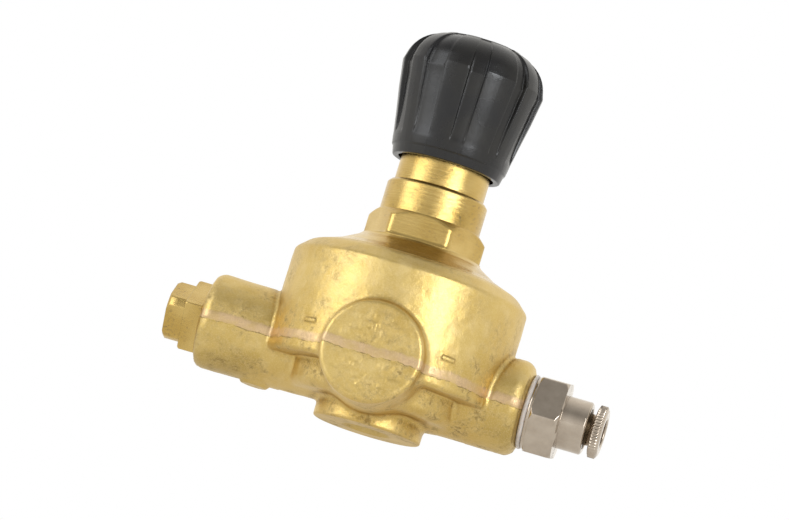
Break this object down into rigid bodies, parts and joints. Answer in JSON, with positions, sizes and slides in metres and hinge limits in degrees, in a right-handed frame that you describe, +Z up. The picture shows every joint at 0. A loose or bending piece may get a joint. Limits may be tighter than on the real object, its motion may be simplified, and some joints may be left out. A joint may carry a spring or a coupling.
{
  "type": "air pressure regulator",
  "caption": "Gas bottle pressure regulator: forged brass body, conical bonnet with a hand knob, relief valve, push-in tube outlet and threaded inlet underneath.",
  "frame": {"origin": "centre of the bottle port's mouth, on the inlet boss's end face", "axes": "+Z up along the main axis to the knob, +X to the tube outlet, blank front boss towards -Y"},
  "size_m": [0.1012, 0.056, 0.0908],
  "materials": {
    "forged_brass": "blasted forging, slightly stained",
    "turned_brass": "satin turned",
    "nickel_plated_brass": "bright nickel plate",
    "black_plastic": "semi-gloss moulded",
    "nylon": "translucent natural nylon",
    "rubber": "matt moulded",
    "steel": "zinc plated",
    "copper": "annealed copper",
    "sintered_bronze": "porous sintered"
  },
  "bodies": {
    "regulator_body": {"valve_body": "forged_brass", "bonnet": "turned_brass", "diaphragm": "rubber", "slip_ring": "steel", "nozzle": "turned_brass", "nozzle_gasket": "copper", "poppet_spring": "steel", "inlet_filter": "sintered_bronze", "inlet_pin": "turned_brass", "inlet_seal": "rubber", "relief_body": "turned_brass", "relief_seal": "rubber", "relief_spring": "steel", "relief_adjuster": "turned_brass", "fitting_body": "nickel_plated_brass", "port_washer": "nylon", "tube_seal": "rubber", "collet_sleeve": "turned_brass"},
    "diaphragm_stack": {"diaphragm_plate": "turned_brass", "pusher": "turned_brass", "diaphragm_nut": "steel", "main_spring": "steel"},
    "button": {"spring_button": "steel"},
    "hand_knob": {"knob": "black_plastic", "adjusting_screw": "turned_brass", "stop_clip": "steel", "knob_insert": "turned_brass", "knob_washer": "steel", "knob_screw": "steel", "knob_cap": "black_plastic"},
    "valve_poppet": {"poppet": "turned_brass", "poppet_seat": "nylon"},
    "relief_piston": {"relief_poppet": "turned_brass", "relief_disc": "rubber"},
    "collar": {"release_collar": "nickel_plated_brass"}
  },
  "joints": [
    {"name": "diaphragm_travel", "type": "slide", "parent": "regulator_body", "child": "diaphragm_stack", "axis": [0, 0, 1], "range_m": [-0.0007, 0], "stiffness_N_per_m": 4000, "deforming": ["diaphragm"]},
    {"name": "poppet_travel", "type": "slide", "parent": "regulator_body", "child": "valve_poppet", "axis": [0, 0, 1], "range_m": [-0.0007, 0], "deforming": ["poppet_spring"]},
    {"name": "screw_travel", "type": "slide", "parent": "regulator_body", "child": "button", "axis": [0, 0, 1], "range_m": [-0.004, 0], "deforming": ["main_spring"]},
    {"name": "knob_turn", "type": "hinge", "parent": "button", "child": "hand_knob", "pos_m": [0, 0, 0.0575], "axis": [0, 0, 1], "range_deg": [-1440, 0]},
    {"name": "relief_lift", "type": "slide", "parent": "regulator_body", "child": "relief_piston", "axis": [-1, 0, 0], "range_m": [0, 0.001], "stiffness_N_per_m": 5000, "springref_m": -0.002, "deforming": ["relief_spring"]},
    {"name": "collar_press", "type": "slide", "parent": "regulator_body", "child": "collar", "axis": [-1, 0, 0], "range_m": [0, 0.0013]}
  ],
  "couplings": [
    {"joint": "knob_turn", "follows": "screw_travel", "rad_per_m": 6283.2},
    {"joint": "poppet_travel", "follows": "diaphragm_travel", "ratio": 1}
  ]
}
